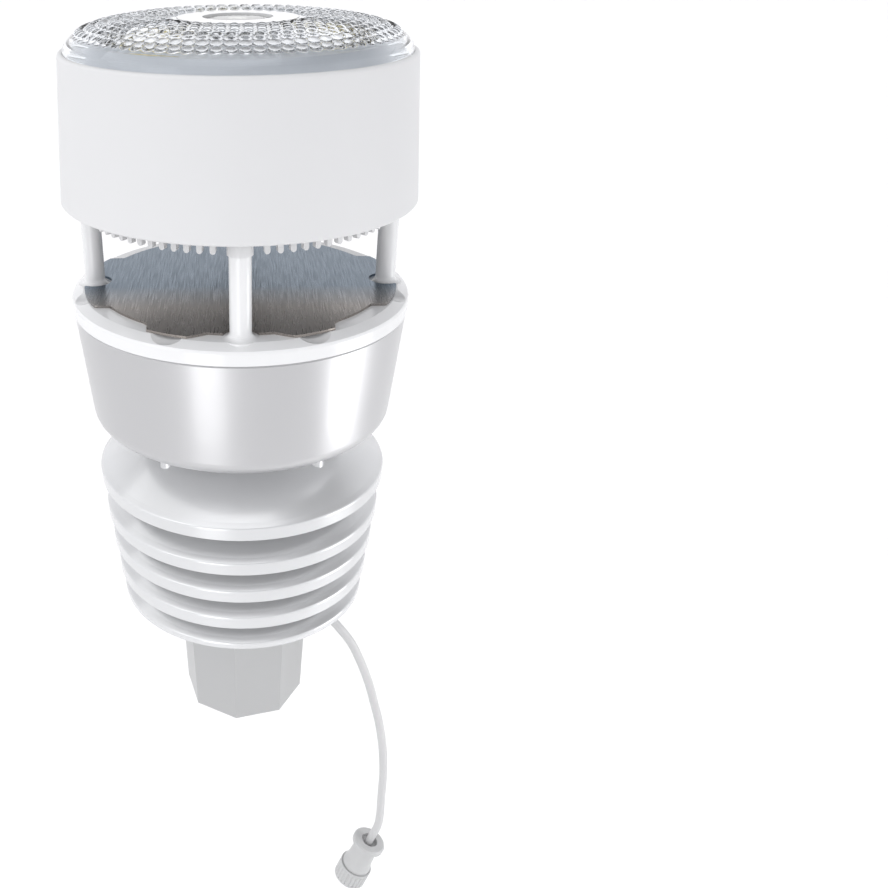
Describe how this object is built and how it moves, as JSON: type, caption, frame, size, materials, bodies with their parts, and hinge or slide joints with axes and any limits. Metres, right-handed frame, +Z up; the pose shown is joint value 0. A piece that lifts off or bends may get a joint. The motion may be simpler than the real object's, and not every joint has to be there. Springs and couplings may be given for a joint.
{
  "type": "outdoor weather sensor",
  "caption": "Mast-top weather sensor: textured clear rain cover, drum over a steel reflector on posts, cup, louvered radiation shield, octagonal mast socket and a short lead with a plug.",
  "frame": {"origin": "centre of the mast socket's mouth, at the bottom of the octagonal socket", "axes": "+Z up along the mast and the sensor's axis, -Y the front, +X the side the cable leaves on"},
  "size_m": [0.1458, 0.1404, 0.4458],
  "materials": {
    "drum_plastic": "satin light grey-white",
    "white_gloss": "glossy white",
    "pearl_gloss": "glossy pearl white",
    "socket_plastic": "matte light grey",
    "clear_plastic": "clear textured",
    "level_glass": "clear polished",
    "level_liquid": "olive tinted liquid",
    "steel_brushed": "brushed front to back",
    "dark_plastic": "matte black",
    "rubber_black": "matte",
    "circuit_board": "solder mask",
    "brass": "bright",
    "screw_steel": "zinc plated",
    "transducer_metal": "satin",
    "cell_wrap": "plastic sleeve",
    "lens_plastic": "clear",
    "cable_jacket": "soft light grey jacket",
    "plug_plastic": "light grey moulding"
  },
  "bodies": {
    "station": {"clear_cover": "clear_plastic", "cover_gasket": "rubber_black", "level_ring": "white_gloss", "level_cup": "white_gloss", "level_liquid": "level_liquid", "level_window": "level_glass", "rain_deck": "white_gloss", "piezo_discs": "brass", "drum": "drum_plastic", "sensor_board": "circuit_board", "transducer_1": "transducer_metal", "transducer_2": "transducer_metal", "transducer_3": "transducer_metal", "transducer_4": "transducer_metal", "transducer_sleeves": "rubber_black", "drum_floor": "dark_plastic", "tooth_ring": "drum_plastic", "floor_screws": "screw_steel", "post_ring": "white_gloss", "post_screws": "screw_steel", "reflector_plate": "steel_brushed", "ring_seal": "rubber_black", "cup": "pearl_gloss", "main_board": "circuit_board", "board_screws": "screw_steel", "radio_can": "screw_steel", "antenna": "brass", "battery_tray": "dark_plastic", "battery_1": "cell_wrap", "battery_2": "cell_wrap", "battery_contacts": "screw_steel", "louver_1": "white_gloss", "louver_2": "white_gloss", "louver_3": "white_gloss", "louver_4": "white_gloss", "louver_5": "white_gloss", "shield_screws": "screw_steel", "base_plate": "white_gloss", "probe_board": "circuit_board", "probe_cap": "white_gloss", "button_board": "circuit_board", "status_lens": "lens_plastic", "pole_socket": "socket_plastic", "socket_screws": "screw_steel", "clamp_screw": "screw_steel", "clamp_insert": "brass", "inner_lead": "cable_jacket", "cable_grommet": "cable_jacket", "cable": "cable_jacket", "plug_cap": "plug_plastic", "plug_body": "plug_plastic", "plug_insert": "dark_plastic", "plug_pins": "brass", "plug_seal": "rubber_black"},
    "battery_door": {"battery_door": "pearl_gloss", "door_gasket": "rubber_black", "door_screw": "screw_steel"},
    "reset_button": {"reset_button": "rubber_black"},
    "coupling_nut": {"coupling_nut": "plug_plastic"}
  },
  "joints": [
    {"name": "battery_door_pull", "type": "slide", "parent": "station", "child": "battery_door", "axis": [0, 1, 0], "range_m": [0, 0.03]},
    {"name": "reset_press", "type": "slide", "parent": "station", "child": "reset_button", "axis": [0, 0, 1], "range_m": [0, 0.0008], "stiffness_N_per_m": 400, "springref_m": -0.0005},
    {"name": "coupling_turn", "type": "hinge", "parent": "station", "child": "coupling_nut", "pos_m": [0.0667, -0.02, -0.0997], "axis": [-0.3256, 0, -0.9455], "continuous": true}
  ]
}
